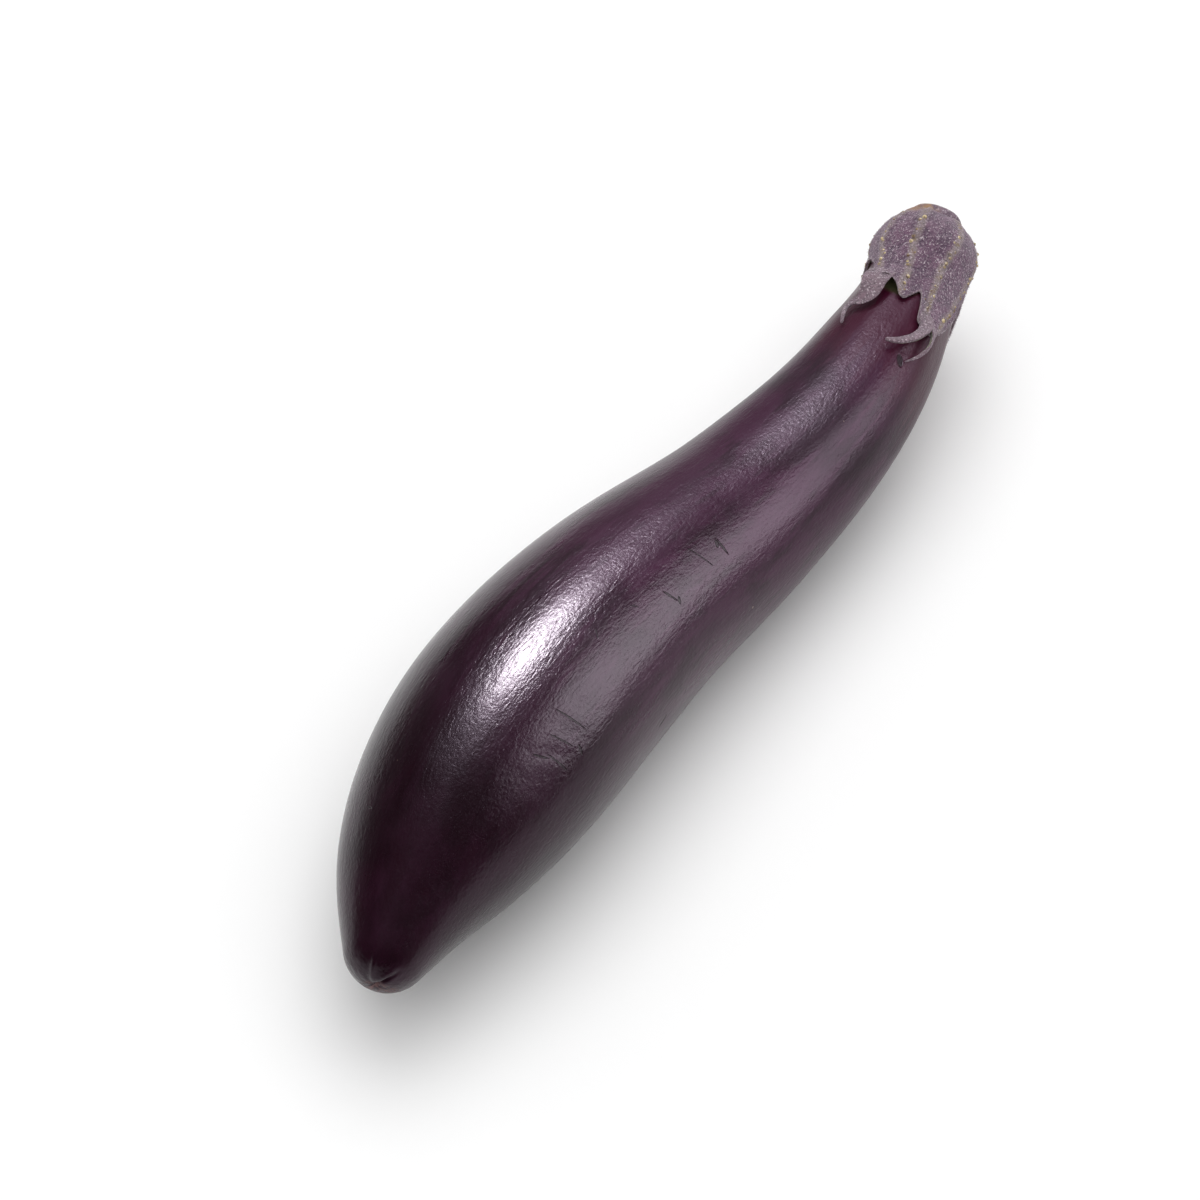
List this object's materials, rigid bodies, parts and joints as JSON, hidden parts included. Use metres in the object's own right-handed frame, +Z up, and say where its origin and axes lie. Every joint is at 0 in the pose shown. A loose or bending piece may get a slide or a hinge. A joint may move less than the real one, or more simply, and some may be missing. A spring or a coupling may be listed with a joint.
{
  "type": "eggplant",
  "caption": "Long, slender purple eggplant lying on its side, gently curved, with a blunt blossom end, a hairy calyx with curled sepal tips and a short cut stem.",
  "frame": {"origin": "on the surface it lies on, under the centre of the bounding box", "axes": "+X from the blossom end to the stem end, +Z up, the belly curving towards +Y"},
  "size_m": [0.2447, 0.0558, 0.0509],
  "materials": {
    "fruit_skin": "thin waxy natural skin, very glossy, near-black purple, crimson next to the calyx",
    "calyx_flesh": "matt, covered in fine pale hairs, mauve with paler ribs and small tan prickles",
    "stem_bark": "matt hairy mauve bark, dry tan cut face"
  },
  "bodies": {
    "root": {"fruit": "fruit_skin", "calyx": "calyx_flesh", "stem": "stem_bark"}
  },
  "joints": []
}
